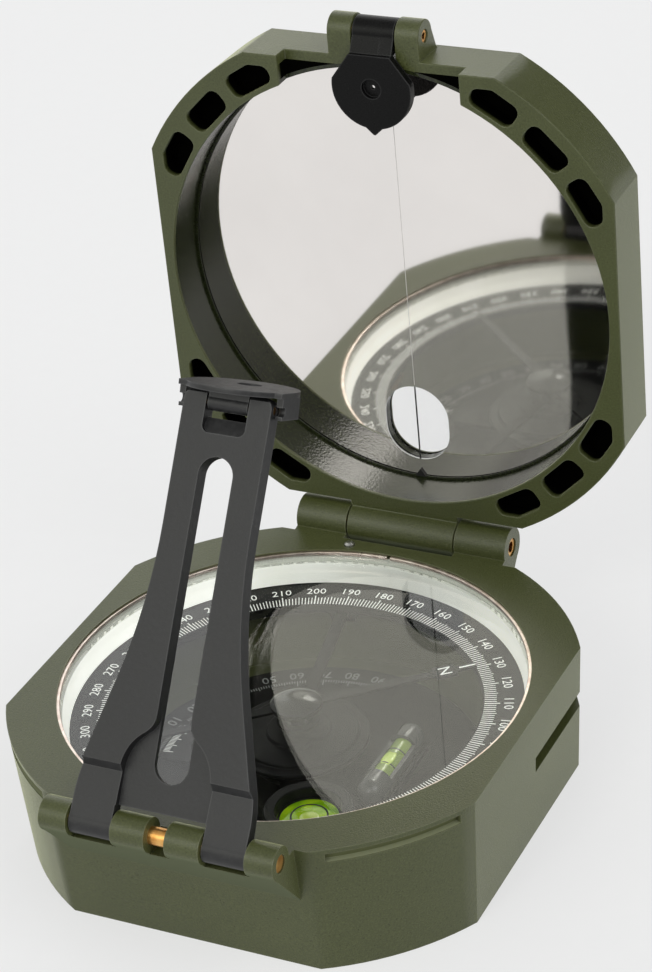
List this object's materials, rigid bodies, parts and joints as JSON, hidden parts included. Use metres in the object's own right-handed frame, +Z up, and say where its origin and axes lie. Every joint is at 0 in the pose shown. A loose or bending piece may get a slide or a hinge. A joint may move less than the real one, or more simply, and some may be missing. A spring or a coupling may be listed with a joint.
{
  "type": "pocket transit compass",
  "caption": "Pocket sighting compass with a hinged mirror lid, a folding sight arm with a peep leaf, a lifting needle, a turning dial ring and a clinometer with spirit levels.",
  "frame": {"origin": "on the needle axis at the underside of the case", "axes": "+Z up out of the dial, +Y towards the lid hinge, +X to the right with the sight arm in front"},
  "size_m": [0.071, 0.0899, 0.1011],
  "materials": {
    "olive_paint": "semi-matt olive enamel on cast metal",
    "black_paint": "matt black enamel",
    "brass": "turned brass, bare",
    "snap_wire": "blackened spring steel, worn bright",
    "inner_steel": "bright turned steel",
    "dial_black": "satin black, printed white",
    "works_black": "matt black",
    "wall_white": "white moulded ring",
    "crystal": "clear polished glass",
    "mirror": "silvered glass",
    "gasket": "black sealing ring",
    "vial": "glass vial with yellow-green spirit"
  },
  "bodies": {
    "case": {"body_case": "olive_paint", "scale_plate": "dial_black", "clinometer_bush": "brass", "wall_ring": "wall_white", "crystal": "crystal", "snap_ring": "snap_wire", "lid_hinge_pin": "brass", "arm_hinge_pin": "brass", "lifter_bracket": "works_black", "lifter_pin": "brass"},
    "lid": {"lid_shell": "olive_paint", "mirror": "mirror", "mirror_gasket": "gasket", "window_pane": "crystal", "sight_pin": "brass"},
    "small_sight": {"small_sight": "black_paint"},
    "arm": {"sight_arm": "black_paint", "peep_pin": "brass"},
    "peep": {"peep_sight": "black_paint"},
    "needle": {"needle": "works_black", "needle_cap": "works_black"},
    "clinometer": {"clinometer_shaft": "inner_steel", "clinometer_hub": "works_black", "needle_pivot": "works_black", "level_bracket": "works_black", "tube_level_case": "works_black", "tube_vial": "vial", "round_level_case": "works_black", "round_vial": "vial", "vernier_arm": "works_black", "clinometer_lever": "inner_steel"},
    "dial_ring": {"azimuth_ring": "dial_black"},
    "dial_screw": {"azimuth_screw": "brass"},
    "lift_button": {"lift_pin": "inner_steel"},
    "lifter": {"needle_lifter": "works_black"}
  },
  "joints": [
    {"name": "lid_hinge", "type": "hinge", "parent": "case", "child": "lid", "pos_m": [0, 0.0394, 0.021], "axis": [-1, 0, 0], "range_deg": [-40, 60]},
    {"name": "arm_hinge", "type": "hinge", "parent": "case", "child": "arm", "pos_m": [0, -0.0392, 0.0206], "axis": [1, 0, 0], "range_deg": [-44, 124]},
    {"name": "peep_hinge", "type": "hinge", "parent": "arm", "child": "peep", "pos_m": [0, -0.0083, 0.06821], "axis": [1, 0, 0], "range_deg": [-8, 82]},
    {"name": "small_sight_hinge", "type": "hinge", "parent": "lid", "child": "small_sight", "pos_m": [0, 0.0437, 0.0988], "axis": [-1, 0, 0], "range_deg": [0, 180]},
    {"name": "needle_spin", "type": "hinge", "parent": "case", "child": "needle", "pos_m": [0, 0, 0.0152], "axis": [0, 0, 1], "continuous": true},
    {"name": "clinometer_turn", "type": "hinge", "parent": "case", "child": "clinometer", "pos_m": [0, 0, 0.004], "axis": [0, 0, 1], "range_deg": [-90, 90]},
    {"name": "dial_ring_turn", "type": "hinge", "parent": "case", "child": "dial_ring", "pos_m": [0, 0, 0.0145], "axis": [0, 0, 1], "continuous": true},
    {"name": "dial_screw_turn", "type": "hinge", "parent": "case", "child": "dial_screw", "pos_m": [-0.0289, 0, 0.0117], "axis": [-1, 0, 0], "continuous": true},
    {"name": "lift_button_slide", "type": "slide", "parent": "case", "child": "lift_button", "axis": [0, 0, -1], "range_m": [0, 0.0004], "stiffness_N_per_m": 40, "springref_m": -0.0006},
    {"name": "lifter_tilt", "type": "hinge", "parent": "case", "child": "lifter", "pos_m": [-0.00576, 0.02761, 0.0128], "axis": [-0.9789, -0.2043, 0], "range_deg": [0, 3.6]}
  ],
  "couplings": [
    {"joint": "dial_screw_turn", "follows": "dial_ring_turn", "ratio": -16.056},
    {"joint": "lifter_tilt", "follows": "lift_button_slide", "rad_per_m": 152.67}
  ]
}
